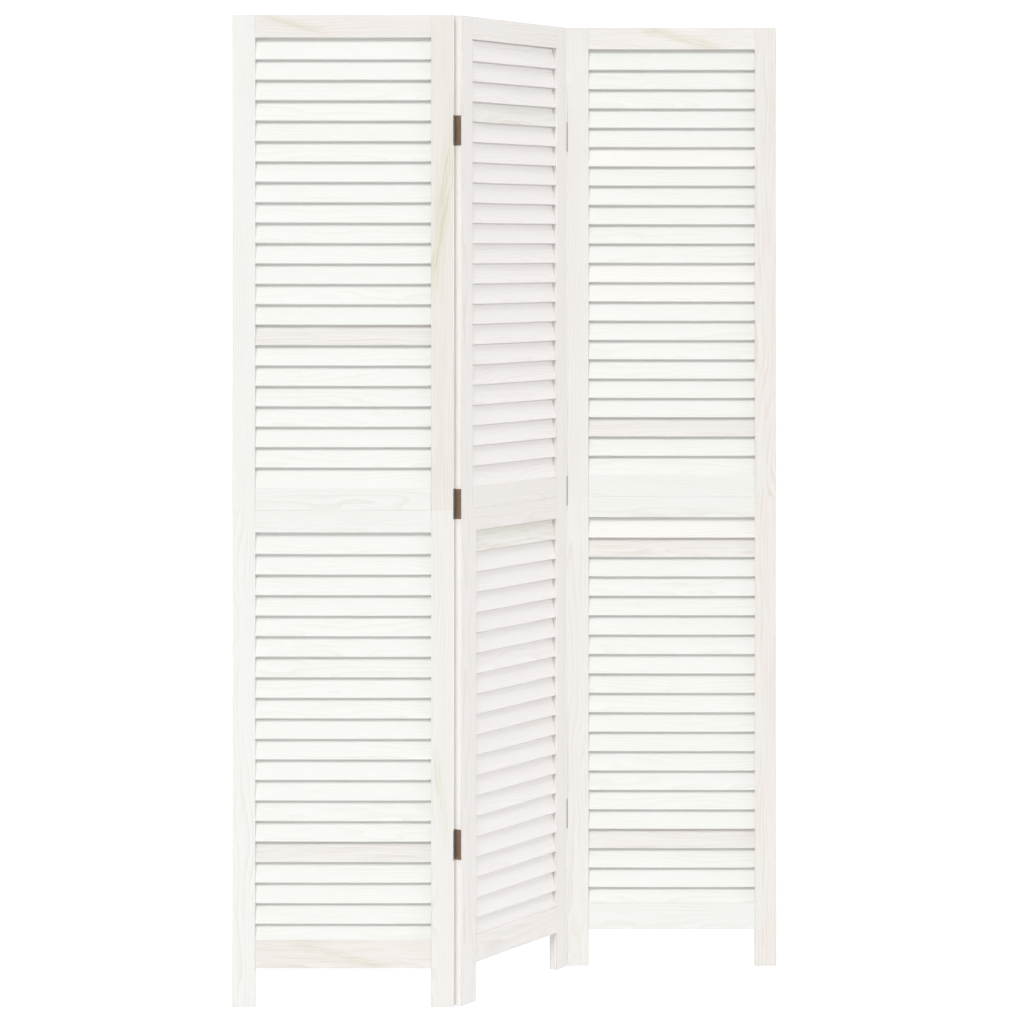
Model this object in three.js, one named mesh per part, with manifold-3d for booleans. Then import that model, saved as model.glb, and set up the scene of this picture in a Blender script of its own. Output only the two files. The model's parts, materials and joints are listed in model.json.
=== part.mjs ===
// Folding room divider screen: three louvred wooden panels, hinged into a Z.
//
// Millimetres, +Z up. The front faces -Y. The origin is on the floor, at the middle of the
// half-folded screen's box. Each panel is two frames, one standing on the other: stiles with
// mortises, rails with stub tenons, and a bank of sloping slats whose ends are let into the stiles.
// Butt hinges join the panels: the left pair turns about pins behind the panels, the right
// pair about pins in front of them, so the three panels fold flat onto each other.
import * as THREE from "three";
import { mergeVertices } from "three/addons/utils/BufferGeometryUtils.js";
import Module from "manifold-3d";

const wasm = await Module();
wasm.setup();

// ---- driving dimensions ----
const HEIGHT = 1660;
const PANEL_WIDTH = 370;
const THICKNESS = 14;
const REST_FOLD = THREE.MathUtils.degToRad(60.5); // 0 is straight, 180 is folded flat
const FRAME_JOINT = 831; // height where the upper frame stands on the lower one
const STILE = 38;
const WIDE_STILE = 50; // the middle panel's lower left leg is cut from a wider board
const CLEARANCE = 0.3; // between pieces that touch

const UPPER = {
  name: "upper",
  base: FRAME_JOINT,
  height: HEIGHT - FRAME_JOINT,
  bottomRail: [0, 37],
  topRail: [791, HEIGHT - FRAME_JOINT],
  slatCount: 22,
  slatPitch: 34.16,
};
const LOWER = {
  name: "lower",
  base: 0,
  height: FRAME_JOINT,
  bottomRail: [65, 111],
  topRail: [794, FRAME_JOINT],
  slatCount: 20,
  slatPitch: 34.37,
};

const SLAT = {
  width: 37.2,
  thickness: 4,
  tilt: THREE.MathUtils.degToRad(12.2), // the top edge leans back
  front: 1, // from the frame's front face to the slat's lower front edge
  firstDrop: 36.3, // from the top rail to the first slat's lower front edge
};
// A bank's slats run into a thin strip at each end, let into a groove in the stile.
const STRIP = { thickness: 3, back: 1.2 };
const TENON = { length: 12, thickness: 6, shoulder: 7 };
const DOWEL = { radius: 4, length: 60, inset: 19, sides: 12 };

const PANEL_GAP = 0.4; // between two panels' edges when they stand in line
const HINGE = {
  heights: { top: 1467, middle: 841, bottom: 270 },
  length: 50,
  leafThickness: 0.6,
  leafInset: 0.4, // from the leaf's free edge to the panel's face
  seatDepth: 0.85,
  pinOffset: 0.15, // from the panel's face to the pin's axis
  knuckleRadius: 1.1,
  boreRadius: 0.72,
  pinRadius: 0.55,
  pinHeadRadius: 0.9,
  pinHead: 0.7,
  knuckles: 5,
  knuckleSides: 8,
  screwHoleRadius: 1.6,
  screwSpacing: 16,
  screwInset: 7, // from the free edge of the leaf
  screwSides: 8,
};

const materials = {
  wood: new THREE.MeshStandardMaterial({ color: 0xf4f2ee, roughness: 0.62, metalness: 0 }),
  slat: new THREE.MeshStandardMaterial({ color: 0xf8f9f4, roughness: 0.62, metalness: 0 }),
  dowel: new THREE.MeshStandardMaterial({ color: 0xdcc29a, roughness: 0.75, metalness: 0 }),
  hinge: new THREE.MeshStandardMaterial({ color: 0x73604c, roughness: 0.42, metalness: 0.7 }),
};

// ---- solids ----
function toSolid(geometry) {
  geometry.deleteAttribute("normal");
  geometry.deleteAttribute("uv");
  const merged = mergeVertices(geometry, 1e-4);
  return new wasm.Manifold(new wasm.Mesh({
    numProp: 3,
    vertProperties: new Float32Array(merged.attributes.position.array),
    triVerts: new Uint32Array(merged.index.array),
  }));
}

function toGeometry(solid) {
  const mesh = solid.getMesh();
  const geometry = new THREE.BufferGeometry();
  geometry.setAttribute("position", new THREE.BufferAttribute(new Float32Array(mesh.vertProperties), 3));
  geometry.setIndex(new THREE.BufferAttribute(new Uint32Array(mesh.triVerts), 1));
  geometry.computeVertexNormals();
  return geometry;
}

// A box between two corners.
function box(low, high) {
  const size = high.map((value, axis) => value - low[axis]);
  const geometry = new THREE.BoxGeometry(...size);
  geometry.translate(...low.map((value, axis) => value + size[axis] / 2));
  return toSolid(geometry);
}

// A box between two corners, grown by a clearance on every side.
function grownBox(low, high, grow) {
  return box(low.map((value) => value - grow), high.map((value) => value + grow));
}

// An upright cylinder between two heights.
function upright(radius, x, y, bottom, top, sides) {
  const geometry = new THREE.CylinderGeometry(radius, radius, top - bottom, sides);
  geometry.rotateX(Math.PI / 2);
  geometry.translate(x, y, (bottom + top) / 2);
  return toSolid(geometry);
}

const joinAll = (solids) => solids.reduce((whole, next) => whole.add(next));
const cutAll = (solid, tools) => tools.reduce((whole, tool) => whole.subtract(tool), solid);

// ---- one frame of a panel: x from its left edge, y back from its front face, z up from its foot ----
function slatSolid(left, right, lowerEdge) {
  const length = right - left + STRIP.thickness;
  const geometry = new THREE.BoxGeometry(length, SLAT.thickness, SLAT.width);
  geometry.translate(0, SLAT.thickness / 2, SLAT.width / 2);
  geometry.rotateX(-SLAT.tilt);
  geometry.translate((left + right) / 2, SLAT.front, lowerEdge);
  return toSolid(geometry);
}

// The strips at a bank's two ends. Grown by the clearance, they cut the grooves in the stiles.
function endStrips(frame, left, right, grow = 0) {
  return [left - STRIP.thickness, right].map((x) => grownBox(
    [x, SLAT.front, frame.bottomRail[1] + CLEARANCE],
    [x + STRIP.thickness, THICKNESS - STRIP.back, frame.topRail[0] - CLEARANCE],
    grow,
  ));
}

function louvreBank(frame, left, right) {
  const slats = [];
  for (let i = 0; i < frame.slatCount; i++) {
    slats.push(slatSolid(left, right, frame.topRail[0] - SLAT.firstDrop - i * frame.slatPitch));
  }
  const room = box(
    [left - STRIP.thickness, 0, frame.bottomRail[1] + CLEARANCE],
    [right + STRIP.thickness, THICKNESS, frame.topRail[0] - CLEARANCE],
  );
  return joinAll([...slats, ...endStrips(frame, left, right)]).intersect(room);
}

function rail([bottom, top], left, right) {
  const body = box([left + CLEARANCE, 0, bottom], [right - CLEARANCE, THICKNESS, top]);
  return body.add(tenons([bottom, top], left, right));
}

// A rail's two stub tenons, in one bar. Grown by the clearance, it cuts the mortises.
function tenons([bottom, top], left, right, grow = 0) {
  const front = (THICKNESS - TENON.thickness) / 2;
  return grownBox(
    [left - TENON.length, front, bottom + TENON.shoulder],
    [right + TENON.length, front + TENON.thickness, top - TENON.shoulder],
    grow,
  );
}

// The dowel that pins a stile of the upper frame to the stile under it.
function dowelSolid(x, grow = 0) {
  const half = DOWEL.length / 2 + grow;
  return upright(DOWEL.radius + grow, x, THICKNESS / 2, FRAME_JOINT - half, FRAME_JOINT + half, DOWEL.sides);
}

// ---- hinges, in a panel's own frame ----
// An edge is where a hinge sits: its x, which way the neighbour lies, and the pin's depth.
function panelEdge(side, pinBehind) {
  const out = side === "right" ? 1 : -1;
  const x = side === "right" ? PANEL_WIDTH : 0;
  const pinY = pinBehind ? THICKNESS + HINGE.pinOffset : -HINGE.pinOffset;
  return { out, x, pinX: x + out * PANEL_GAP / 2, pinY, pinBehind };
}

// The depths that a leaf spans, from its free edge to the pin.
function leafDepths(edge) {
  const freeEdge = edge.pinBehind ? HINGE.leafInset : THICKNESS - HINGE.leafInset;
  return [Math.min(freeEdge, edge.pinY), Math.max(freeEdge, edge.pinY)];
}

// The recess in a stile's edge that takes a leaf, with a deeper rebate in the corner for the
// knuckles and the pin's heads.
function leafSeat(edge, centre) {
  const mouth = edge.x + edge.out;
  const recess = (floor, front, back, half) => box(
    [Math.min(floor, mouth), front, centre - half],
    [Math.max(floor, mouth), back, centre + half],
  );
  const floor = edge.x - edge.out * HINGE.seatDepth;
  const seat = recess(floor, -1, THICKNESS + 1, HINGE.length / 2 + CLEARANCE);
  const round = HINGE.knuckleRadius + CLEARANCE;
  const front = edge.pinBehind ? edge.pinY - round : -1;
  const back = edge.pinBehind ? THICKNESS + 1 : edge.pinY + round;
  const pinHalf = HINGE.length / 2 + HINGE.pinHead + 2 * CLEARANCE;
  return joinAll([seat, recess(edge.pinX - edge.out * round, front, back, pinHalf)]);
}

// Knuckles 0, 2 and 4 belong to the outer panel's leaf, and 1 and 3 to the middle panel's.
function knuckleSpans(centre, first) {
  const pitch = HINGE.length / HINGE.knuckles;
  const spans = [];
  for (let i = first; i < HINGE.knuckles; i += 2) {
    const bottom = centre - HINGE.length / 2 + i * pitch;
    spans.push([bottom + CLEARANCE / 2, bottom + pitch - CLEARANCE / 2]);
  }
  return spans;
}

function hingeLeaf(edge, centre, first) {
  const half = HINGE.length / 2;
  const inner = edge.x - edge.out * (HINGE.seatDepth - CLEARANCE);
  const outer = inner + edge.out * HINGE.leafThickness;
  const [front, back] = leafDepths(edge);
  const plate = box(
    [Math.min(inner, outer), front, centre - half],
    [Math.max(inner, outer), back, centre + half],
  );
  const round = (radius, [bottom, top], extra = 0) => upright(
    radius, edge.pinX, edge.pinY, bottom - extra, top + extra, HINGE.knuckleSides);
  const own = knuckleSpans(centre, first).map((span) => round(HINGE.knuckleRadius, span));
  const others = knuckleSpans(centre, 1 - first).map((span) => round(
    HINGE.knuckleRadius + CLEARANCE, span, CLEARANCE));
  const bore = round(HINGE.boreRadius, [centre - half, centre + half], 1);
  const holes = screwHeights(centre).map((height) => screwHole(edge, height));
  return cutAll(joinAll([cutAll(plate, others), ...own]), [bore, ...holes]);
}

function screwHeights(centre) {
  return [-1, 0, 1].map((step) => centre + step * HINGE.screwSpacing);
}

function screwHole(edge, height) {
  const reach = 3;
  const geometry = new THREE.CylinderGeometry(
    HINGE.screwHoleRadius, HINGE.screwHoleRadius, 2 * reach, HINGE.screwSides);
  geometry.rotateZ(Math.PI / 2);
  const inset = HINGE.leafInset + HINGE.screwInset;
  geometry.translate(edge.x, edge.pinBehind ? inset : THICKNESS - inset, height);
  return toSolid(geometry);
}

// A pin with a low head at each end, turned about its own axis.
function hingePin() {
  const half = HINGE.length / 2 + CLEARANCE;
  const profile = [
    [0, -half - HINGE.pinHead],
    [HINGE.pinHeadRadius, -half - HINGE.pinHead],
    [HINGE.pinHeadRadius, -half],
    [HINGE.pinRadius, -half],
    [HINGE.pinRadius, half],
    [HINGE.pinHeadRadius, half],
    [HINGE.pinHeadRadius, half + HINGE.pinHead],
    [0, half + HINGE.pinHead],
  ].map(([radius, height]) => new THREE.Vector2(radius, height));
  const geometry = new THREE.LatheGeometry(profile, HINGE.knuckleSides);
  geometry.rotateX(Math.PI / 2);
  return toGeometry(toSolid(geometry));
}

// ---- assembly ----
function addMesh(group, name, geometry, material) {
  const mesh = new THREE.Mesh(geometry, material);
  mesh.name = name;
  group.add(mesh);
  return mesh;
}

// One frame's stiles, rails and louvres, in a group that stands at the frame's foot.
function addFrame(panel, panelName, frame, leftStile, seats) {
  const group = new THREE.Group();
  group.position.z = frame.base;
  panel.add(group);
  const left = leftStile;
  const right = PANEL_WIDTH - STILE;
  const tools = [
    ...endStrips(frame, left, right, CLEARANCE),
    tenons(frame.bottomRail, left, right, CLEARANCE),
    tenons(frame.topRail, left, right, CLEARANCE),
    ...[DOWEL.inset, PANEL_WIDTH - DOWEL.inset].map((x) => dowelSolid(x, CLEARANCE).translate([0, 0, -frame.base])),
    ...seats.map((seat) => seat.translate([0, 0, -frame.base])),
  ];
  const foot = frame.base === 0 ? 0 : CLEARANCE;
  const stile = (from, to) => cutAll(box([from, 0, foot], [to, THICKNESS, frame.height]), tools);
  const name = (piece) => `${panelName}_${frame.name}_${piece}`;
  addMesh(group, name("left_stile"), toGeometry(stile(0, left)), materials.wood);
  addMesh(group, name("right_stile"), toGeometry(stile(right, PANEL_WIDTH)), materials.wood);
  const bottomRail = [Math.max(frame.bottomRail[0], foot), frame.bottomRail[1]];
  addMesh(group, name("bottom_rail"), toGeometry(rail(bottomRail, left, right)), materials.wood);
  addMesh(group, name("top_rail"), toGeometry(rail(frame.topRail, left, right)), materials.wood);
  addMesh(group, name("louvres"), toGeometry(louvreBank(frame, left, right)), materials.slat);
}

// A panel in its own frame: x from its left edge, y back from its front face, z up.
// Each of its hinged edges has a name, an edge and its leaves' first knuckle.
function makePanel(panelName, hingedEdges, lowerLeftStile = STILE) {
  const panel = new THREE.Group();
  const heights = Object.entries(HINGE.heights);
  const seats = hingedEdges.flatMap(({ edge }) => heights.map(([, centre]) => leafSeat(edge, centre)));
  addFrame(panel, panelName, UPPER, STILE, seats);
  addFrame(panel, panelName, LOWER, lowerLeftStile, seats);
  addMesh(panel, `${panelName}_left_dowel`, toGeometry(dowelSolid(DOWEL.inset)), materials.dowel);
  addMesh(panel, `${panelName}_right_dowel`, toGeometry(dowelSolid(PANEL_WIDTH - DOWEL.inset)), materials.dowel);
  for (const { hinge, edge, first } of hingedEdges) {
    for (const [level, centre] of heights) {
      const leaf = toGeometry(hingeLeaf(edge, centre, first));
      addMesh(panel, `${hinge}_${level}_hinge_${panelName}_leaf`, leaf, materials.hinge);
    }
  }
  return panel;
}

function addPins(parent, hinge, x, y) {
  for (const [level, centre] of Object.entries(HINGE.heights)) {
    const pin = addMesh(parent, `${hinge}_${level}_hinge_pin`, hingePin(), materials.hinge);
    pin.position.set(x, y, centre);
  }
}

// The left and right panels stand square to the view. The middle one is turned back by the fold
// angle about the left fold line.
function makeScreen() {
  const leftEdge = panelEdge("right", true);
  const rightEdge = panelEdge("left", false);
  const middleLeft = panelEdge("left", true);
  const middleRight = panelEdge("right", false);
  const left = makePanel("left", [{ hinge: "left", edge: leftEdge, first: 0 }]);
  const right = makePanel("right", [{ hinge: "right", edge: rightEdge, first: 0 }]);
  const middle = makePanel("middle", [
    { hinge: "left", edge: middleLeft, first: 1 },
    { hinge: "right", edge: middleRight, first: 1 },
  ], WIDE_STILE);

  const turn = new THREE.Matrix4().makeRotationZ(REST_FOLD);
  const leftPin = new THREE.Vector3(leftEdge.pinX, leftEdge.pinY, 0);
  const middleOffset = new THREE.Vector3(-middleLeft.pinX, -middleLeft.pinY, 0).applyMatrix4(turn);
  middle.position.copy(leftPin).add(middleOffset);
  middle.rotation.z = REST_FOLD;
  const rightPin = new THREE.Vector3(middleRight.pinX, middleRight.pinY, 0)
    .applyMatrix4(turn).add(middle.position);
  right.position.set(rightPin.x - rightEdge.pinX, rightPin.y - rightEdge.pinY, 0);

  const screen = new THREE.Group();
  screen.add(left, middle, right);
  addPins(screen, "left", leftPin.x, leftPin.y);
  addPins(screen, "right", rightPin.x, rightPin.y);
  const width = right.position.x + PANEL_WIDTH;
  const depth = right.position.y + THICKNESS;
  screen.position.set(-width / 2, -depth / 2, 0);
  return screen;
}

const screen = makeScreen();
export default screen;
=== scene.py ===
"""Folding room divider screen: rounded boards, grain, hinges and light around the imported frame."""

import json
import math
import random

import bmesh
import bpy
from mathutils import Matrix, Vector


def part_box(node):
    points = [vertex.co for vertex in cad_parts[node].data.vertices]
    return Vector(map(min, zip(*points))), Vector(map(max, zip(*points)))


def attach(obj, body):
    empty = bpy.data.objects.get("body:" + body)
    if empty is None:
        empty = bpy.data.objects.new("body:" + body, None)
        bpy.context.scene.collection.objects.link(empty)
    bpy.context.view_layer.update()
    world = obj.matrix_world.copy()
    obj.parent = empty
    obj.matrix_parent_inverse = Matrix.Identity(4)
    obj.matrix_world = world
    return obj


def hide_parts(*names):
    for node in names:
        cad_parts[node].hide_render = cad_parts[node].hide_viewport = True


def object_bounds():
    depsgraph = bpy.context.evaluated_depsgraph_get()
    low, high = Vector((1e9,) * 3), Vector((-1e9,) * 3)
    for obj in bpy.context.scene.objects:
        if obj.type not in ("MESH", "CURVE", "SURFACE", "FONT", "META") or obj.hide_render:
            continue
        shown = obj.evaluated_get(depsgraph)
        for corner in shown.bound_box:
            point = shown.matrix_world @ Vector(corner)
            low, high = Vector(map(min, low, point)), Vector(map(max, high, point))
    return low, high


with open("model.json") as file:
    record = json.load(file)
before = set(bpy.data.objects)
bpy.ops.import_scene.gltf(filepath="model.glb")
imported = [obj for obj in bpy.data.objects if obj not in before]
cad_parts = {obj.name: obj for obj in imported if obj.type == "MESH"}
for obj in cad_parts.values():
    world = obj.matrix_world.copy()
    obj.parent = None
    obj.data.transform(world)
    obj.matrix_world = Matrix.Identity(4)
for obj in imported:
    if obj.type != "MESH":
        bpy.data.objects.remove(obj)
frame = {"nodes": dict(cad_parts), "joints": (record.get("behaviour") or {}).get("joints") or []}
CAD_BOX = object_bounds()
MM = 0.001

# ---- sizes, in metres ----
ARRIS = 0.6 * MM  # rounding of the frame boards' long edges
ARRIS_STEPS = 3
JOINT_ARRIS = 0.25 * MM  # and of the rails that meet where one frame stands on the other
JOINT_CREVICE = 0.04 * MM  # between the two frames
SLAT_WIDTH = 37.2 * MM
SLAT_THICKNESS = 4.0 * MM
SLAT_ARRIS = 1.1 * MM
SLAT_FRONT = 1.0 * MM  # from the frame's front face to a slat's lower front edge
SLAT_TILT = math.radians(12.2)  # the top edge leans back
SLAT_TILT_SPREAD = 0.25  # degrees either way, from one slat to the next
SLAT_FIRST_DROP = 36.3 * MM  # from the top rail to the first slat's lower front edge
SLAT_ROWS = {"upper": (22, 34.16 * MM), "lower": (20, 34.37 * MM)}  # count and pitch
SLAT_HOUSING = 1.5 * MM  # how far slats go into the stiles, and the last one into the rail
SLAT_CLEARANCE = 0.2 * MM  # between the first slat and the top rail

LEAF_LENGTH = 50 * MM
LEAF_THICKNESS = 0.6 * MM
LEAF_ARRIS = 0.12 * MM
LEAF_PROUD = 0.05 * MM  # how far a leaf stands out of the panel's edge
LEAF_INSET = 0.4 * MM  # from the panel's face to the leaf's free edge
KNUCKLES = 5
KNUCKLE_RADIUS = 1.0 * MM
KNUCKLE_RIM = 0.12 * MM  # chamfer of a knuckle's ends
BORE_RADIUS = 0.72 * MM
PIN_RADIUS = 0.55 * MM
PIN_HEAD_RADIUS = 0.9 * MM
PIN_DOME = 0.7 * MM  # height of a pin's head
PLAY = 0.3 * MM  # between pieces that touch
HINGED_EDGE_REACH = 1 * MM  # a stile's edge this near a fold line carries its hinges

SCREW_SPACING = 16 * MM
SCREW_INSET = 7 * MM  # from the leaf's free edge
SCREW_LENGTH = 12 * MM
SCREW_HEAD_RADIUS = 2.1 * MM
SCREW_SHANK_RADIUS = 0.95 * MM
THREAD_TURNS = 8
THREAD_PITCH = 0.9 * MM
THREAD_DEPTH = 0.3 * MM
SINK_DEPTH = 1 * MM  # of a leaf's countersunk holes
SINK_TAPER = 0.9 * MM
SINK_PLAY = 0.15 * MM
CUT_OVERLAP = 0.1 * MM  # how far a cutter starts outside what it cuts

DOWEL_FLUTES = 16
FLUTE_DEPTH = 0.05  # as a share of the dowel's radius
HINGE_LEVELS = ("top", "middle", "bottom")
ROUND_STEPS = 32  # round a knuckle or a screw hole
SMALL_STEPS = 24  # round a screw or a pin


# ---- camera: level, and square to the two outer panels ----
CAMERA_DISTANCE = 5.691  # in front of the left panel's face
CAMERA_HEIGHT = 1.2625
CAMERA_LENS = 119.6
CAMERA_SHIFT = -0.2534  # the picture is framed below the camera's own height


def add_camera():
    camera = bpy.data.objects.new("camera", bpy.data.cameras.new("camera"))
    bpy.context.scene.collection.objects.link(camera)
    camera.location = (0, CAD_BOX[0].y - CAMERA_DISTANCE, CAMERA_HEIGHT)
    camera.rotation_euler = (math.radians(90), 0, 0)
    camera.data.lens = CAMERA_LENS
    camera.data.shift_y = CAMERA_SHIFT
    bpy.context.scene.camera = camera


# ---- the panels' own frames: x from the left edge, y back from the front face, z up ----
def node_box(node, place):
    """A CAD node's lowest and highest corners, in the frame that place stands for."""
    back = place.inverted()
    points = [back @ v.co for v in frame["nodes"][node].data.vertices]
    low = Vector([min(p[axis] for p in points) for axis in range(3)])
    high = Vector([max(p[axis] for p in points) for axis in range(3)])
    return low, high


def find_panels():
    """Each panel's place, from the outer panels' boxes and the two fold lines."""
    pins = {joint["name"].removesuffix("_fold"): Vector(joint["pos_m"]) for joint in frame["joints"]}
    for pin in pins.values():
        pin.z = 0
    low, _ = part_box("left_lower_left_stile")
    _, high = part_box("left_lower_right_stile")
    right_low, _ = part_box("right_lower_left_stile")
    width, thickness = high.x - low.x, high.y - low.y
    half_gap = pins["left"].x - high.x
    pin_offset = pins["left"].y - high.y
    span = pins["right"] - pins["left"]
    fold = math.atan2(span.y, span.x) + math.atan2(thickness + 2 * pin_offset, width + 2 * half_gap)
    turn = Matrix.Rotation(fold, 4, "Z")
    middle = pins["left"] - turn @ Vector((-half_gap, thickness + pin_offset, 0))
    places = {
        "left": Matrix.Translation((low.x, low.y, 0)),
        "middle": Matrix.Translation(middle) @ turn,
        "right": Matrix.Translation((right_low.x, right_low.y, 0)),
    }
    return places, pins, thickness


PANELS, PINS, THICKNESS = find_panels()


# ---- colour ----
def linear(red, green, blue):
    """A screen colour, 0 to 255, as the shader's linear colour."""
    channels = [c / 255 for c in (red, green, blue)]
    return tuple(c / 12.92 if c <= 0.04045 else ((c + 0.055) / 1.055) ** 2.4 for c in channels)


# What each panel's wash reflects of what a perfect white does. The right panel's is set lower as painted
# shade, offsetting the light that the middle panel bounces onto it.
WASH_ALBEDO = {"left": 0.765, "middle": 0.765, "right": 0.75}
EDGE_PAINTED_LIGHT = 1.1  # a painted highlight: the frame boards' narrow long faces are painted brighter for the light they catch
WHITE = (250, 252, 250)  # most boards: a cool, faintly green white
SLAT_WHITE = (249, 251, 248)
CREAM = (249, 248, 246)
ROSE = (249, 246, 243)  # boards whose wash has a pinkish cast
ROSE_GREY = (251, 248, 248)  # the middle panel's slats
DUSKY_ROSE = (248, 245, 244)  # its frame
BLUSH = (255, 253, 251)  # a white slat with a trace of pink
OLIVE_CREAM = (246, 244, 239)
GREIGE = (245, 243, 241)  # the few slats whose figure shows through
OLIVE_GREY = (247, 246, 243)


# ---- meshes ----
def rounded_box(size, arris, cutters=()):
    """A box centred on the origin with rounded long edges, cut by boxes given as low and high
    corners. Gives its points, its faces and which faces are smooth."""
    bm = bmesh.new()
    bmesh.ops.create_cube(bm, size=1)
    bmesh.ops.scale(bm, vec=size, verts=bm.verts)
    long_edges = [e for e in bm.edges if abs(e.verts[0].co.x - e.verts[1].co.x) > size[0] / 2]
    made = bmesh.ops.bevel(
        bm, geom=long_edges, offset=arris, segments=ARRIS_STEPS, profile=0.5,
        affect="EDGES", clamp_overlap=True,
    )
    for face in made["faces"]:
        face.smooth = True
    tools = [plain_box(low, high) for low, high in cutters]
    mesh = combine(to_mesh(bm, "board"), tools, "DIFFERENCE")
    points = [v.co.copy() for v in mesh.vertices]
    return points, [(list(face.vertices), face.use_smooth) for face in mesh.polygons]


class Boards:
    """Boards gathered into one mesh. Each point keeps its place on its own board, and the board's look."""

    LOOKS = ("seed", "figure", "streak", "streak_shape")

    def __init__(self):
        self.points, self.faces, self.smooth = [], [], []
        self.attributes = {name: [] for name in ("along", "tint", *self.LOOKS)}

    def add(self, size, arris, place, look, cutters=(), painted_edge_light=1.0):
        """A board of that length, width and thickness, less the cutters. place puts it in the world.
        The factor after the cutters paints its narrow long faces brighter, a painted highlight for the light
        they catch."""
        points, faces = rounded_box(size, arris, cutters)
        first = len(self.points)
        for point in points:
            on_edge = abs(point.y) > size[1] / 2 - arris / 4
            self.points.append(place @ point)
            self.attributes["along"].append(point + Vector((size[0] / 2, 0, 0)))
            # the narrow long faces get a brighter tint, a painted highlight
            self.attributes["tint"].append(Vector(look["tint"]) * (painted_edge_light if on_edge else 1.0))
            for name in self.LOOKS:
                self.attributes[name].append(look[name])
        for corners, smooth in faces:
            self.faces.append([first + c for c in corners])
            self.smooth.append(smooth)

    def build(self, name, material):
        mesh = bpy.data.meshes.new(name)
        mesh.from_pydata(self.points, [], self.faces)
        mesh.polygons.foreach_set("use_smooth", self.smooth)
        for attribute, values in self.attributes.items():
            kind = "FLOAT" if attribute == "figure" else "FLOAT_VECTOR"
            layer = mesh.attributes.new(attribute, kind, "POINT")
            if kind == "FLOAT":
                layer.data.foreach_set("value", values)
            else:
                layer.data.foreach_set("vector", [c for value in values for c in value])
        mesh.materials.append(material)
        piece = bpy.data.objects.new(name, mesh)
        bpy.context.scene.collection.objects.link(piece)
        return piece


NO_STREAK = {"streak": (0, 0, 1), "streak_shape": (0, 1, 0)}
SHADE_SPREAD = 0.004  # of one board's brightness from the next, as a share
# Where in a log a board may have been sawn: along it, and off its pith either way.
LOG_LENGTH = 40
PITH_ACROSS = (0.012, 0.05)
PITH_THROUGH = (0.012, 0.06)


def board_look(panel, rng, tint, figure=0.0, streak=None):
    """What sets one board apart: its colour, where it was sawn from the log, how strongly its figure
    shows, and a streak, as centre along, centre across, half length, slope, half width and strength."""
    shade = WASH_ALBEDO[panel] * (1 + rng.uniform(-SHADE_SPREAD, SHADE_SPREAD))
    seed = (
        rng.uniform(0, LOG_LENGTH),
        rng.uniform(*PITH_ACROSS),
        rng.choice((-1, 1)) * rng.uniform(*PITH_THROUGH),
    )
    look = {"seed": seed, "tint": tuple(shade * c for c in linear(*tint)), "figure": figure, **NO_STREAK}
    if streak:
        look["streak"], look["streak_shape"] = streak[:3], streak[3:]
    return look


# ---- materials ----
class Graph:
    """A material's node tree."""

    def __init__(self, name):
        self.material = bpy.data.materials.new(name)
        self.material.use_nodes = True
        self.tree = self.material.node_tree
        self.tree.nodes.clear()

    def node(self, kind, inputs=(), output=0, **settings):
        """A node with its settings and inputs, each a value or another node's output. Gives its output."""
        made = self.tree.nodes.new(kind)
        for name, value in settings.items():
            setattr(made, name, value)
        for socket, value in dict(inputs).items():
            if isinstance(value, bpy.types.NodeSocket):
                self.tree.links.new(value, made.inputs[socket])
            else:
                made.inputs[socket].default_value = value
        return made.outputs[output] if made.outputs else None

    def attribute(self, name, output="Vector"):
        return self.node("ShaderNodeAttribute", output=output, attribute_name=name)

    def math(self, operation, a, b=0.0, clamp=False):
        return self.node("ShaderNodeMath", {0: a, 1: b}, operation=operation, use_clamp=clamp)

    def vector(self, operation, a, b):
        return self.node("ShaderNodeVectorMath", {0: a, 1: b}, operation=operation)

    def millimetres(self, place):
        return self.vector("MULTIPLY", place, (1000, 1000, 1000))

    def parts(self, vector):
        """A vector's three parts."""
        return self.node("ShaderNodeSeparateXYZ", {0: vector}).node.outputs

    def noise(self, place, scale, detail, roughness=0.5, output="Fac"):
        """Noise on a place in millimetres. scale is how fast it varies along each axis."""
        scaled = self.vector("MULTIPLY", place, scale)
        inputs = {"Vector": scaled, "Scale": 1.0, "Detail": detail, "Roughness": roughness}
        return self.node("ShaderNodeTexNoise", inputs, output=output)

    def remap(self, value, low, high, out_low=0.0, out_high=1.0, smooth=False):
        return self.node(
            "ShaderNodeMapRange", {0: value, 1: low, 2: high, 3: out_low, 4: out_high},
            interpolation_type="SMOOTHSTEP" if smooth else "LINEAR",
        )

    def mix(self, share, a, b, blend="MIX"):
        made = self.tree.nodes.new("ShaderNodeMix")
        made.data_type, made.blend_type = "RGBA", blend
        sockets = [made.inputs[0], *[s for s in made.inputs if s.type == "RGBA"]]
        for socket, value in zip(sockets, (share, a, b)):
            if isinstance(value, bpy.types.NodeSocket):
                self.tree.links.new(value, socket)
            else:
                socket.default_value = value
        return next(s for s in made.outputs if s.type == "RGBA")

    def finish(self, shader_inputs):
        shader = self.node("ShaderNodeBsdfPrincipled", shader_inputs)
        self.node("ShaderNodeOutputMaterial", {"Surface": shader})
        return self.material


# How fast each part of the wood varies along, across and through a board, per millimetre.
WANDER = (0.004, 0.02, 0.02)
FIBRE = (0.02, 0.9, 0.9)
PORES = (0.05, 2.6, 2.6)
WASH_PATCHES = (0.006, 0.045, 0.045)
BANDS = (0.008, 0.16, 0.16)
VEINS = (0.015, 0.3, 1.0)
WANDER_REACH = 26  # millimetres that the rings stray
RING_SCALE = 0.085
LATE_WOOD_SHARPNESS = 2.6
GRAIN_RELIEF = 0.12 * MM
# How much of the rings, the fibre and the pores shows through the wash.
RING_SHARE = 0.5
FIBRE_SHARE = 0.34
PORE_SHARE = 0.35
# What shows through, as a multiple of the board's tint.
BARE_WOOD = (0.82, 0.77, 0.70, 1)
STREAK_WOOD = (0.79, 0.765, 0.62, 1)


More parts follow.
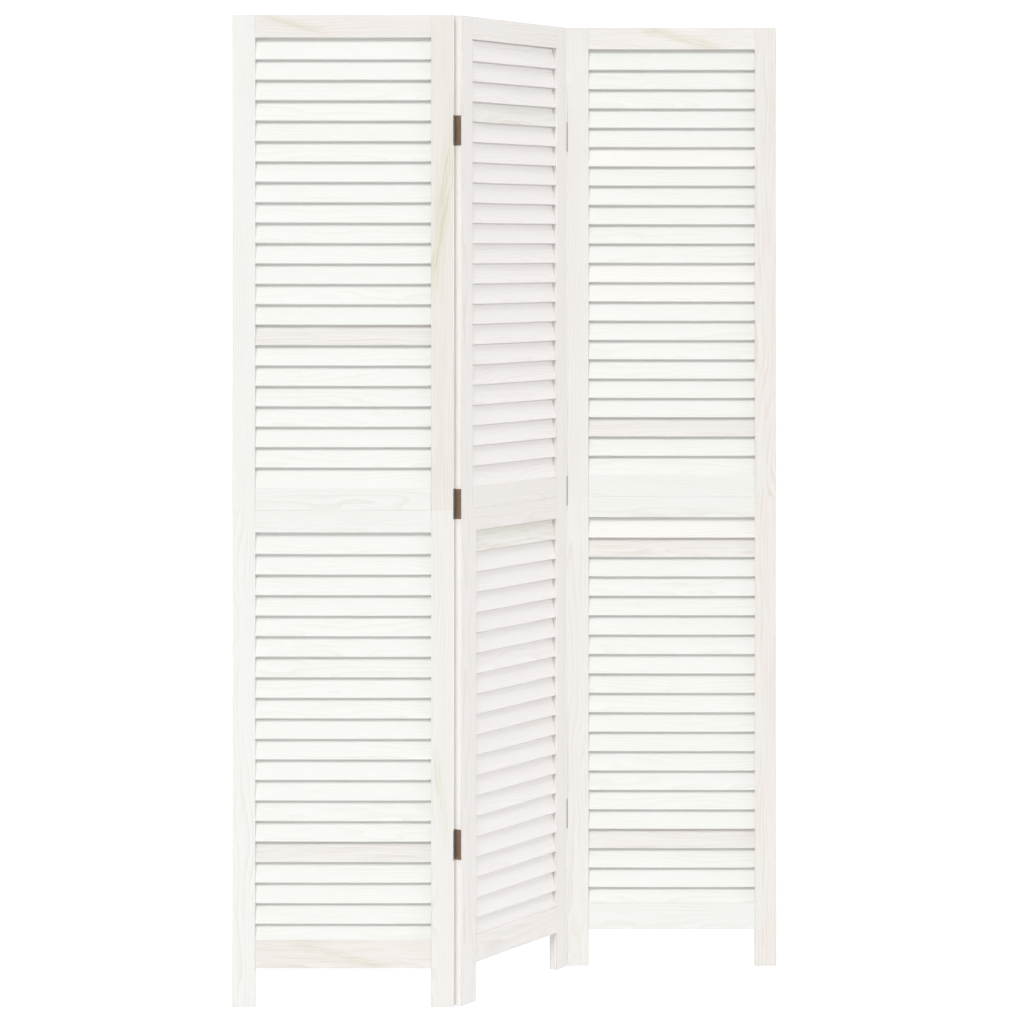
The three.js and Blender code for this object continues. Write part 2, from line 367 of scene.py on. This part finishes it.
def wood_material(name, roughness, grain):
    """Whitewashed pine. The wash lies thin over the late wood of the rings and in the pores."""
    g = Graph(name)
    along = g.millimetres(g.attribute("along"))
    place = g.vector("ADD", along, g.millimetres(g.attribute("seed")))
    wander = g.vector("SUBTRACT", g.noise(place, WANDER, 2, output="Color"), (0.5, 0.5, 0.5))
    bent = g.vector("ADD", place, g.vector("MULTIPLY", wander, (0, WANDER_REACH, WANDER_REACH)))
    late_wood = g.math("POWER", rings(g, bent), LATE_WOOD_SHARPNESS)
    fibre = g.noise(bent, FIBRE, 4, 0.62)
    pores = g.remap(g.noise(place, PORES, 2, 0.5), 0.62, 0.74)
    bands = g.remap(g.noise(bent, BANDS, 3, 0.6), 0.42, 0.68, smooth=True)

    # the tint is painted brighter on the frame boards' narrow long faces, a painted highlight
    tint = g.attribute("tint")
    shown = bare_share(g, place, late_wood, fibre, pores, bands, grain)
    colour = g.mix(shown, tint, g.mix(1.0, tint, BARE_WOOD, "MULTIPLY"))
    colour = g.mix(streak_mask(g, along, bands), colour, g.mix(1.0, tint, STREAK_WOOD, "MULTIPLY"))
    rough = g.remap(g.math("ADD", fibre, pores), 0.2, 1.2, roughness - 0.06, roughness + 0.1)
    return g.finish({
        "Base Color": colour, "Roughness": rough, "Specular IOR Level": 0.35,
        "Normal": grain_bump(g, late_wood, fibre, pores),
    })


def rings(g, place):
    """The year rings about the board's own x axis, from 0 up to 1 and back at once."""
    return g.node(
        "ShaderNodeTexWave", {"Vector": place, "Scale": RING_SCALE, "Distortion": 0.0}, output="Fac",
        wave_type="RINGS", rings_direction="X", wave_profile="SAW",
    )


def bare_share(g, place, late_wood, fibre, pores, bands, grain):
    """How much bare wood shows through the wash, 0 to 1. grain scales it."""
    thin = g.remap(g.noise(place, WASH_PATCHES, 3, 0.55), 0.35, 0.7, 0.25, 1.0)
    lines = g.math("MULTIPLY", late_wood, thin)
    shown = g.math("MULTIPLY", lines, RING_SHARE * grain)
    shown = g.math("ADD", shown, g.math("MULTIPLY", fibre, FIBRE_SHARE * grain))
    shown = g.math("ADD", shown, g.math("MULTIPLY", pores, PORE_SHARE * grain))
    strong = g.math("ADD", g.math("MULTIPLY", bands, 0.7), g.math("MULTIPLY", lines, 0.5))
    strong = g.math("MULTIPLY", g.attribute("figure", "Fac"), strong)
    return g.math("ADD", shown, strong, clamp=True)


def grain_bump(g, late_wood, fibre, pores):
    """Raised fibre, with hollows at the late wood and the pores."""
    height = g.math("SUBTRACT", g.math("MULTIPLY", fibre, 0.35), g.math("MULTIPLY", late_wood, 0.25))
    height = g.math("SUBTRACT", height, g.math("MULTIPLY", pores, 0.6))
    return g.node("ShaderNodeBump", {"Strength": 0.5, "Distance": GRAIN_RELIEF, "Height": height})


def streak_mask(g, along, bands):
    """An oblique streak of darker wood that crosses a board, broken into veins that follow it."""
    centre, shape = g.attribute("streak"), g.attribute("streak_shape")
    off = g.vector("SUBTRACT", along, g.vector("MULTIPLY", centre, (1000, 1000, 0)))
    off_x, off_y, _ = g.parts(off)
    _, _, half_length = g.parts(centre)
    slope, half_width, strength = g.parts(shape)
    lane = g.math("SUBTRACT", off_y, g.math("MULTIPLY", off_x, slope))
    reach = g.math("MULTIPLY", half_length, 1000.0)
    across = g.math("ABSOLUTE", g.math("DIVIDE", lane, g.math("MULTIPLY", half_width, 1000.0)))
    length = g.math("ABSOLUTE", g.math("DIVIDE", off_x, reach))
    within_width = g.remap(across, 0.1, 1.0, 1, 0, smooth=True)
    within_length = g.remap(length, 0.4, 1.0, 1, 0, smooth=True)
    inside = g.math("MULTIPLY", within_width, within_length)
    veins = g.noise(g.node("ShaderNodeCombineXYZ", {0: off_x, 1: lane, 2: reach}), VEINS, 3, 0.6)
    veins = g.remap(veins, 0.42, 0.64, 0.2, 0.9, smooth=True)
    broken = g.math("ADD", veins, g.math("MULTIPLY", bands, 0.2))
    return g.math("MULTIPLY", g.math("MULTIPLY", inside, strength), broken)


BEECH = (222, 190, 146)
BEECH_GRAIN = (200, 163, 116)
BEECH_FLECK = (170, 126, 84)
LACQUER_DARK = (125, 106, 88)
LACQUER_LIGHT = (142, 123, 103)
LACQUER_RUBBED = (165, 142, 117)
# the knuckles' colour: partly bare steel where the lacquer wears off, partly a painted sheen
WORN_STEEL_AND_SHEEN = (168, 163, 158)


def opaque(colour):
    """A screen colour as a socket's red, green, blue and alpha."""
    return (*linear(*colour), 1)


def dowel_material():
    """Bare beech with short flecks."""
    g = Graph("bare_beech")
    place = g.millimetres(g.node("ShaderNodeTexCoord", output="Object"))
    fibre = g.noise(place, (1.2, 1.2, 0.06), 4, 0.6)
    flecks = g.remap(g.noise(place, (2.4, 2.4, 0.5), 1), 0.6, 0.7)
    colour = g.mix(fibre, opaque(BEECH), opaque(BEECH_GRAIN))
    colour = g.mix(g.math("MULTIPLY", flecks, 0.5), colour, opaque(BEECH_FLECK))
    bump = g.node("ShaderNodeBump", {"Strength": 0.4, "Distance": 0.1 * MM, "Height": fibre})
    return g.finish({"Base Color": colour, "Roughness": 0.7, "Normal": bump})


def hinge_material():
    """Steel with a brown bronze lacquer, mottled and a little rubbed; knuckles light grey: worn lacquer and
    painted sheen.
    """
    g = Graph("bronze_lacquer")
    place = g.millimetres(g.node("ShaderNodeTexCoord", output="Object"))
    mottle = g.noise(place, (0.35, 0.35, 0.35), 4, 0.65)
    brushed = g.noise(place, (3.0, 3.0, 0.25), 3, 0.6)
    colour = g.mix(g.remap(mottle, 0.35, 0.65), opaque(LACQUER_DARK), opaque(LACQUER_LIGHT))
    rubbed = g.remap(g.math("MULTIPLY", mottle, brushed), 0.3, 0.42)
    colour = g.mix(g.math("MULTIPLY", rubbed, 0.35), colour, opaque(LACQUER_RUBBED))
    # the knuckles turn light grey: worn lacquer and a painted sheen
    wear_and_sheen = g.math("MULTIPLY", g.attribute("wear_and_sheen", "Fac"), g.remap(brushed, 0.2, 0.7, 0.6, 1.0))
    colour = g.mix(wear_and_sheen, colour, opaque(WORN_STEEL_AND_SHEEN))
    rough = g.remap(brushed, 0.3, 0.7, 0.36, 0.52)
    bump = g.node("ShaderNodeBump", {"Strength": 0.3, "Distance": 0.03 * MM, "Height": brushed})
    return g.finish({"Base Color": colour, "Roughness": rough, "Metallic": 0.35, "Normal": bump})


def glowing_material():
    """White card that gives off light of its own."""
    g = Graph("studio_white")
    return g.finish({
        "Base Color": (FLOOR_COLOUR, FLOOR_COLOUR, FLOOR_COLOUR, 1), "Roughness": 0.9,
        "Emission Color": (1, 1, 1, 1), "Emission Strength": FLOOR_GLOW,
    })


# ---- the boards of a panel ----
# The tint of each frame board, by panel and board; the rest are WHITE.
BOARD_TINTS = {
    "left_upper_right_stile": OLIVE_CREAM, "left_lower_right_stile": CREAM, "left_upper_top_rail": ROSE,
    "left_lower_bottom_rail": ROSE, "right_upper_right_stile": ROSE, "right_lower_right_stile": ROSE,
    "right_upper_top_rail": BLUSH, "right_upper_left_stile": CREAM, "right_lower_left_stile": CREAM,
}
# Boards with a strong figure, and slats by their number from the top.
BOARD_FIGURES = {
    "left_lower_bottom_rail": 0.35, "right_upper_right_stile": 0.3, "right_lower_right_stile": 0.25,
    "right_upper_top_rail": 0.3, "left_upper_top_rail": 0.2, "left_upper_right_stile": 0.2,
}
SLAT_LOOKS = {
    "left_upper": {15: (GREIGE, 0.4)},
    "left_lower": {16: (GREIGE, 0.45)},
    "middle_upper": {4: (OLIVE_GREY, 0.45)},
    "middle_lower": {1: (OLIVE_GREY, 0.5)},
    "right_upper": {6: (BLUSH, 0.05), 12: (BLUSH, 0), 13: (BLUSH, 0.05), 20: (GREIGE, 0.35)},
    "right_lower": {1: (BLUSH, 0.1), 2: (GREIGE, 0.4), 17: (GREIGE, 0.4)},
}
FAINT_FIGURES = (0, 0, 0, 0.08)  # the rest of the slats draw theirs from these
# Centre along, centre across, half length, slope, half width and strength.
STREAKS = {
    "left_upper_right_stile": (0.50, 0.0, 0.19, 0.13, 0.018, 1.0),
    "left_lower_right_stile": (0.36, -0.004, 0.11, -0.12, 0.012, 0.6),
    "left_upper_top_rail": (0.062, 0.004, 0.075, -0.25, 0.010, 0.7),
    "left_lower_bottom_rail": (0.15, -0.004, 0.11, -0.22, 0.012, 0.65),
    "right_upper_top_rail": (0.155, 0.003, 0.10, -0.26, 0.014, 1.0),
}


# The axes of a board's length, width and thickness in its panel's frame, as columns.
STILE_AXES = Matrix(((0, 1, 0, 0), (0, 0, 1, 0), (1, 0, 0, 0), (0, 0, 0, 1)))
RAIL_AXES = Matrix(((1, 0, 0, 0), (0, 0, -1, 0), (0, 1, 0, 0), (0, 0, 0, 1)))


def stile_place(low, high):
    """The frame of an upright board: its length up, its width to the right."""
    return Matrix.Translation((low + high) / 2) @ STILE_AXES


def rail_place(low, high):
    """The frame of a level board: its length to the right, its width up."""
    return Matrix.Translation((low + high) / 2) @ RAIL_AXES


def board_box(place, low, high):
    """A box of the panel's frame in a board's own frame."""
    corners = [place.inverted() @ corner for corner in (low, high)]
    return [Vector([pick(c[axis] for c in corners) for axis in range(3)]) for pick in (min, max)]


def hinge_recesses(panel, low, high):
    """The seats and knuckle rebates that a stile's edge has where it carries hinges."""
    for fold, pin in PINS.items():
        pin = PANELS[panel].inverted() @ pin
        out = 1 if pin.x > (low.x + high.x) / 2 else -1
        edge = high.x if out > 0 else low.x
        if abs(pin.x - edge) > HINGED_EDGE_REACH:
            continue
        behind = pin.y > THICKNESS / 2
        rebate = KNUCKLE_RADIUS + PLAY
        depths = (pin.y - rebate, THICKNESS + rebate) if behind else (-rebate, pin.y + rebate)
        seat_floor = pin.x - out * (abs(pin.x - edge) - LEAF_PROUD + LEAF_THICKNESS + PLAY)
        for level in HINGE_LEVELS:
            pin_low, pin_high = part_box(f"{fold}_{level}_hinge_pin")
            centre = (pin_low.z + pin_high.z) / 2
            half_seat, half_rebate = LEAF_LENGTH / 2 + PLAY, (pin_high.z - pin_low.z) / 2 + PLAY
            if centre + half_rebate < low.z or centre - half_rebate > high.z:
                continue
            mouth = edge + out * rebate
            yield recess_box(seat_floor, mouth, (-rebate, THICKNESS + rebate), centre, half_seat)
            yield recess_box(pin.x - out * rebate, mouth, depths, centre, half_rebate)


def recess_box(floor, mouth, depths, centre, half):
    """A recess from its floor out to its mouth, between two depths, half its height either way of centre."""
    low = Vector((min(floor, mouth), depths[0], centre - half))
    return low, Vector((max(floor, mouth), depths[1], centre + half))


def frame_board(panel, node, low, high, upright, material, rng):
    """One stile or rail, in place of its CAD node."""
    size = high - low
    tint = BOARD_TINTS.get(node, DUSKY_ROSE if panel == "middle" else WHITE)
    look = board_look(panel, rng, tint, BOARD_FIGURES.get(node, 0.0), STREAKS.get(node))
    boards = Boards()
    if upright:
        place = stile_place(low, high)
        cutters = [board_box(place, *recess) for recess in hinge_recesses(panel, low, high)]
        size = (size.z, size.x, size.y)
        # the stile's narrow long faces are painted brighter, a painted highlight
        boards.add(size, ARRIS, PANELS[panel] @ place, look, cutters, EDGE_PAINTED_LIGHT)
    else:
        arris = JOINT_ARRIS if node.endswith(("upper_bottom_rail", "lower_top_rail")) else ARRIS
        boards.add((size.x, size.z, size.y), arris, PANELS[panel] @ rail_place(low, high), look)
    piece = boards.build(f"{node}_board", material)
    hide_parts(node)
    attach(piece, f"{panel}_panel")


def slat_bank(panel, level, left, right, bottom, top, material, rng):
    """The slats between two stiles and two rails, one board each, in place of the CAD bank. The last
    slat ends inside the bottom rail."""
    count, pitch = SLAT_ROWS[level]
    boards = Boards()
    looks = SLAT_LOOKS[f"{panel}_{level}"]
    plain = ROSE_GREY if panel == "middle" else SLAT_WHITE
    length = right - left + 2 * SLAT_HOUSING
    for i in range(count):
        lower_edge = top - SLAT_FIRST_DROP - i * pitch
        upper_edge = lower_edge + SLAT_WIDTH * math.cos(SLAT_TILT)
        cut = bottom - SLAT_HOUSING - lower_edge if i == count - 1 else 0
        over = max(0, upper_edge - (top - SLAT_CLEARANCE))
        width = SLAT_WIDTH - (cut + over) / math.cos(SLAT_TILT)
        tilt = SLAT_TILT + math.radians(rng.uniform(-SLAT_TILT_SPREAD, SLAT_TILT_SPREAD))
        tint, figure = looks.get(i + 1, (plain, rng.choice(FAINT_FIGURES)))
        foot = Vector(((left + right) / 2, SLAT_FRONT + cut * math.tan(tilt), lower_edge + cut))
        to_foot = Matrix.Translation((0, SLAT_THICKNESS / 2, width / 2))
        lean = Matrix.Rotation(-tilt, 4, "X")
        place = PANELS[panel] @ Matrix.Translation(foot) @ lean @ to_foot @ RAIL_AXES
        look = board_look(panel, rng, tint, figure)
        boards.add((length, width, SLAT_THICKNESS), SLAT_ARRIS, place, look)
    piece = boards.build(f"{panel}_{level}_slats", material)
    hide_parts(f"{panel}_{level}_louvres")
    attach(piece, f"{panel}_panel")


def panel_boards(panel, frame_wood, louvre_wood):
    """A panel's two frames and their slats."""
    rng = random.Random(f"{panel} boards")
    for level in ("upper", "lower"):
        name = f"{panel}_{level}"
        stiles = {side: node_box(f"{name}_{side}_stile", PANELS[panel]) for side in ("left", "right")}
        rails = {end: node_box(f"{name}_{end}_rail", PANELS[panel]) for end in ("bottom", "top")}
        if level == "upper":
            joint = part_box(f"{panel}_lower_left_stile")[1].z + JOINT_CREVICE
            for low, _ in (*stiles.values(), rails["bottom"]):
                low.z = joint
        left, right = stiles["left"][1].x, stiles["right"][0].x
        bottom, top = rails["bottom"][1].z, rails["top"][0].z
        for side, (low, high) in stiles.items():
            frame_board(panel, f"{name}_{side}_stile", low, high, True, frame_wood, rng)
        for end, (low, high) in rails.items():
            low, high = Vector((left, low.y, low.z)), Vector((right, high.y, high.z))
            frame_board(panel, f"{name}_{end}_rail", low, high, False, frame_wood, rng)
        slat_bank(panel, level, left, right, bottom, top, louvre_wood, rng)


# ---- hinges ----
def lathe(profile, segments, closed=False):
    """A solid turned about the z axis from (radius, height) pairs. A closed profile makes a ring."""
    bm = bmesh.new()
    rows = []
    for radius, height in profile:
        if radius < 1e-9:
            rows.append([bm.verts.new((0, 0, height))] * segments)
            continue
        turns = [2 * math.pi * k / segments for k in range(segments)]
        rows.append([bm.verts.new((radius * math.cos(a), radius * math.sin(a), height)) for a in turns])
    pairs = list(zip(rows, rows[1:])) + ([(rows[-1], rows[0])] if closed else [])
    for below, above in pairs:
        for k in range(segments):
            n = (k + 1) % segments
            corners = dict.fromkeys((below[k], below[n], above[n], above[k]))
            if len(corners) > 2:
                bm.faces.new(corners).smooth = True
    bmesh.ops.recalc_face_normals(bm, faces=bm.faces)
    return bm


def to_mesh(bm, name):
    mesh = bpy.data.meshes.new(name)
    bm.to_mesh(mesh)
    bm.free()
    return mesh


def combine(base, tools, operation):
    """base joined with or cut by each tool, all meshes. Gives a new mesh."""
    for tool in tools:
        body = bpy.data.objects.new("boolean_body", base)
        cutter = bpy.data.objects.new("boolean_tool", tool)
        for o in (body, cutter):
            bpy.context.scene.collection.objects.link(o)
        modifier = body.modifiers.new("boolean", "BOOLEAN")
        modifier.operation, modifier.solver, modifier.object = operation, "EXACT", cutter
        graph = bpy.context.evaluated_depsgraph_get()
        base = bpy.data.meshes.new_from_object(body.evaluated_get(graph))
        for o in (body, cutter):
            bpy.data.objects.remove(o)
    return base


def plain_box(low, high, bevel=0.0):
    """A box between two corners, its edges rounded by the bevel."""
    bm = bmesh.new()
    bmesh.ops.create_cube(bm, size=1)
    bmesh.ops.scale(bm, vec=Vector(high) - Vector(low), verts=bm.verts)
    bmesh.ops.translate(bm, vec=(Vector(high) + Vector(low)) / 2, verts=bm.verts)
    if bevel:
        bmesh.ops.bevel(bm, geom=list(bm.edges), offset=bevel, segments=2, profile=0.5, affect="EDGES")
    return to_mesh(bm, "box")


def moved(mesh, matrix):
    copy = mesh.copy()
    copy.transform(matrix)
    return copy


def knuckle_spans(first):
    """The bottom and top of every second knuckle from that one."""
    pitch = LEAF_LENGTH / KNUCKLES
    bottoms = [-LEAF_LENGTH / 2 + i * pitch for i in range(first, KNUCKLES, 2)]
    return [(bottom, bottom + pitch) for bottom in bottoms]


def leaf_mesh(first):
    """A leaf about its pin, with the plate to the -x side of the pin and running to -y. first is its
    lowest knuckle's number. Also gives where the plate's outer face is and how far the plate reaches."""
    _, stile_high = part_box("left_lower_right_stile")
    edge = PINS["left"].x - stile_high.x
    outer = -(edge - LEAF_PROUD)
    reach = THICKNESS + (PINS["left"].y - stile_high.y) - LEAF_INSET
    half = LEAF_LENGTH / 2
    plate = plain_box((outer - LEAF_THICKNESS, -reach, -half), (outer, 0, half), LEAF_ARRIS)
    plate = combine(plate, knuckle_notches(first) + screw_holes(outer, reach), "DIFFERENCE")
    leaf = combine(plate, knuckle_barrels(first), "UNION")
    # marks the knuckles for the light grey of worn lacquer and painted sheen
    wear_and_sheen = leaf.attributes.new("wear_and_sheen", "FLOAT", "POINT")
    wear_and_sheen_radius = 1.02 * KNUCKLE_RADIUS
    wear_and_sheen.data.foreach_set("value", [float(v.co.xy.length < wear_and_sheen_radius) for v in leaf.vertices])
    return leaf, outer, reach


def knuckle_notches(first):
    """What the leaf leaves free for the other leaf's knuckles."""
    radius = KNUCKLE_RADIUS + PLAY
    return [
        plain_box((-radius, -radius, bottom - PLAY / 2), (radius, 2 * radius, top + PLAY / 2))
        for bottom, top in knuckle_spans(1 - first)
    ]


def knuckle_barrels(first):
    """The leaf's own knuckles, bored for the pin."""
    barrels = []
    for bottom, top in knuckle_spans(first):
        low, high = bottom + PLAY / 2, top - PLAY / 2
        ring = [
            (BORE_RADIUS, low), (KNUCKLE_RADIUS - KNUCKLE_RIM, low), (KNUCKLE_RADIUS, low + KNUCKLE_RIM),
            (KNUCKLE_RADIUS, high - KNUCKLE_RIM), (KNUCKLE_RADIUS - KNUCKLE_RIM, high), (BORE_RADIUS, high),
        ]
        barrels.append(to_mesh(lathe(ring, ROUND_STEPS, closed=True), "barrel"))
    return barrels


def screw_holes(outer, reach):
    """The leaf's countersunk holes, as solids to cut away."""
    narrow, wide = SCREW_HEAD_RADIUS - SINK_TAPER, SCREW_HEAD_RADIUS + SINK_PLAY
    profile = [(0, -SINK_DEPTH), (narrow, -SINK_DEPTH), (wide, CUT_OVERLAP), (0, CUT_OVERLAP)]
    holes = []
    for height in screw_heights():
        cone = lathe(profile, ROUND_STEPS)
        cone.transform(screw_place(outer, reach, height))
        holes.append(to_mesh(cone, "hole"))
    return holes


def screw_heights():
    return [step * SCREW_SPACING for step in (-1, 0, 1)]


def screw_place(outer, reach, height):
    """Takes a screw standing on z, head up, into the leaf's outer face."""
    turn = Matrix.Rotation(math.radians(90), 4, "Y")
    return Matrix.Translation((outer, -reach + SCREW_INSET, height)) @ turn


def screw_mesh():
    """A countersunk screw with a cross recess, its head flush with z = 0."""
    head, shank, core = SCREW_HEAD_RADIUS, SCREW_SHANK_RADIUS, SCREW_SHANK_RADIUS * 0.8
    crown, rim, cone = 0.05 * MM, 0.12 * MM, 1.2 * MM
    thread_top, tip = -2.2 * MM, 2 * MM
    profile = [(0, crown), (head * 0.6, 0.8 * crown), (head - rim, 0), (head, -rim), (shank, -cone)]
    for i in range(THREAD_TURNS):
        z = thread_top - i * THREAD_PITCH
        profile += [(core, z), (core + THREAD_DEPTH, z - THREAD_PITCH / 2)]
    profile += [(core, -SCREW_LENGTH + tip), (0, -SCREW_LENGTH)]
    body = to_mesh(lathe(profile[::-1], SMALL_STEPS), "screw")
    arm, depth, half, above = 1.25 * MM, 0.7 * MM, 0.2 * MM, 1 * MM
    cross = [
        plain_box((-arm, -half, -depth), (arm, half, above)),
        plain_box((-half, -arm, -depth), (half, arm, above)),
    ]
    return combine(body, cross, "DIFFERENCE")


def pin_mesh():
    """A plain pin with a low domed head at each end."""
    half = LEAF_LENGTH / 2 + PLAY
    top = [
        (PIN_RADIUS, half), (PIN_HEAD_RADIUS, half), (PIN_HEAD_RADIUS, half + 0.35 * PIN_DOME),
        (PIN_HEAD_RADIUS * 0.75, half + 0.8 * PIN_DOME), (0, half + PIN_DOME),
    ]
    bottom = [(radius, -height) for radius, height in reversed(top)]
    return to_mesh(lathe(bottom + top, SMALL_STEPS), "pin")


def add_piece(name, mesh, material, slot, body, place, *nodes):
    """A moved copy of the mesh as a piece, in place of the CAD nodes if any are given."""
    piece = bpy.data.objects.new(name, moved(mesh, place))
    bpy.context.scene.collection.objects.link(piece)
    piece.data.materials.clear()
    piece.data.materials.append(material)
    if nodes:
        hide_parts(*nodes)
    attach(piece, body)
    return piece


# The panels that each fold line's leaves belong to, with the number of the leaf's lowest knuckle and
# the turn that takes the template leaf there.
LEAVES = {
    "left": {
        "left": (0, Matrix.Identity(4)),
        "middle": (1, Matrix.Rotation(math.pi, 4, "Y")),
    },
    "right": {
        "right": (0, Matrix.Rotation(math.pi, 4, "Z")),
        "middle": (1, Matrix.Rotation(math.pi, 4, "X")),
    },
}


def hinges(metal):
    """Every hinge's pin, leaves and screws."""
    templates = [leaf_mesh(0), leaf_mesh(1)]
    screw, pin = screw_mesh(), pin_mesh()
    rng = random.Random("screws")
    for fold, leaves in LEAVES.items():
        for level in HINGE_LEVELS:
            hinge = f"{fold}_{level}_hinge"
            node = f"{hinge}_pin"
            low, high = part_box(node)
            centre = Matrix.Translation(PINS[fold] + Vector((0, 0, (low.z + high.z) / 2)))
            add_piece(f"{node}_turned", pin, metal, "hinge_metal", f"{fold}_panel", centre, node)
            for panel, (first, turn) in leaves.items():
                mesh, outer, reach = templates[first]
                place = centre @ PANELS[panel].to_3x3().to_4x4() @ turn
                screws = screw_set(screw, outer, reach, rng)
                node, body = f"{hinge}_{panel}_leaf", f"{panel}_panel"
                add_piece(f"{node}_plate", mesh, metal, "hinge_metal", body, place, node)
                add_piece(f"{hinge}_{panel}_screws", screws, metal, "hinge_metal", body, place)


def screw_set(screw, outer, reach, rng):
    """A leaf's three screws, each driven home at its own angle."""
    bm = bmesh.new()
    for height in screw_heights():
        angle = Matrix.Rotation(rng.uniform(0, math.pi), 4, "Z")
        bm.from_mesh(moved(screw, screw_place(outer, reach, height) @ angle))
    return to_mesh(bm, "screws")


# ---- dowels ----
def dowels(beech):
    """Fluted dowels, hidden where an upper stile stands on a lower one."""
    for panel in PANELS:
        for side in ("left", "right"):
            node = f"{panel}_{side}_dowel"
            low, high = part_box(node)
            mesh = dowel_mesh((high.x - low.x) / 2, (high.z - low.z) / 2)
            place = Matrix.Translation((low + high) / 2)
            add_piece(f"{node}_fluted", mesh, beech, "dowel_wood", f"{panel}_panel", place, node)


def dowel_mesh(radius, half):
    """A dowel with chamfered ends and flutes down its length."""
    neck, chamfer = 0.8 * radius, radius / 4
    profile = [
        (0, -half), (neck, -half), (radius, -half + chamfer),
        (radius, half - chamfer), (neck, half), (0, half),
    ]
    bm = lathe(profile, 4 * DOWEL_FLUTES)
    for v in bm.verts:
        wave = 0.5 + 0.5 * math.cos(DOWEL_FLUTES * math.atan2(v.co.y, v.co.x))
        v.co.xy *= 1 - FLUTE_DEPTH * wave
    return to_mesh(bm, "dowel")


# ---- the studio ----
SKY_LEVEL = 0.40  # radiance at the horizon
SKY_OVERHEAD = 0.5
FLOOR_COLOUR = 0.05
FLOOR_GLOW = 0.985  # keeps the floor and backdrop pure white, even in the screen's shadow
FLOOR_HALF = 40.0
BACKDROP_START = 6.0  # behind the screen
BACKDROP_HEIGHT = 9.0
SWEEP_RADIUS = 2.0  # of the floor's curve up into the backdrop
SWEEP_STEPS = 12
# Each light's strength, its spread in degrees and where it shines from.
LIGHTS = {
    "key": (2.05, 28, (-0.20, -0.715, 0.645)),
    "fill": (1.12, 24, (0.96, -0.17, 0.28)),
}


def studio():
    """A white floor that sweeps up into a backdrop, a key light from above the viewer's left shoulder
    and a fill from the right."""
    floor_sweep()
    sky()
    for name, (strength, spread, source) in LIGHTS.items():
        lamp = bpy.data.objects.new(name, bpy.data.lights.new(name, "SUN"))
        lamp.data.energy, lamp.data.angle = strength, math.radians(spread)
        lamp.rotation_euler = Vector(source).to_track_quat("Z", "Y").to_euler()
        bpy.context.scene.collection.objects.link(lamp)
    bpy.context.scene.view_settings.view_transform = "Standard"


def floor_sweep():
    turns = [math.radians(90 * k / SWEEP_STEPS) for k in range(SWEEP_STEPS + 1)]
    profile = [(-FLOOR_HALF, 0)]
    profile += [
        (BACKDROP_START + SWEEP_RADIUS * math.sin(a), SWEEP_RADIUS * (1 - math.cos(a))) for a in turns
    ]
    profile += [(BACKDROP_START + SWEEP_RADIUS, BACKDROP_HEIGHT)]
    bm = bmesh.new()
    rows = [[bm.verts.new((x, y, z)) for x in (-FLOOR_HALF, FLOOR_HALF)] for y, z in profile]
    for low, high in zip(rows, rows[1:]):
        bm.faces.new((low[0], low[1], high[1], high[0])).smooth = True
    floor = bpy.data.objects.new("studio_sweep", to_mesh(bm, "studio_sweep"))
    bpy.context.scene.collection.objects.link(floor)
    floor.data.materials.append(glowing_material())
    return floor


def sky():
    """White light from all round, a little stronger overhead."""
    world = bpy.data.worlds.new("studio")
    bpy.context.scene.world = world
    world.use_nodes = True
    tree = world.node_tree
    background = tree.nodes["Background"]
    background.inputs["Color"].default_value = (1, 1, 1, 1)
    place = tree.nodes.new("ShaderNodeTexCoord")
    parts = tree.nodes.new("ShaderNodeSeparateXYZ")
    ramp = tree.nodes.new("ShaderNodeMapRange")
    heights_and_levels = (0.0, 1.0, SKY_LEVEL, SKY_OVERHEAD)
    for socket, value in zip(ramp.inputs[1:5], heights_and_levels):
        socket.default_value = value
    tree.links.new(place.outputs["Generated"], parts.inputs[0])
    tree.links.new(parts.outputs[2], ramp.inputs[0])
    tree.links.new(ramp.outputs[0], background.inputs["Strength"])


add_camera()
frame_wood = wood_material("whitewashed_frame", 0.56, 1.0)
louvre_wood = wood_material("whitewashed_louvre", 0.54, 0.7)
for panel_name in PANELS:
    panel_boards(panel_name, frame_wood, louvre_wood)
hinges(hinge_material())
dowels(dowel_material())
studio()
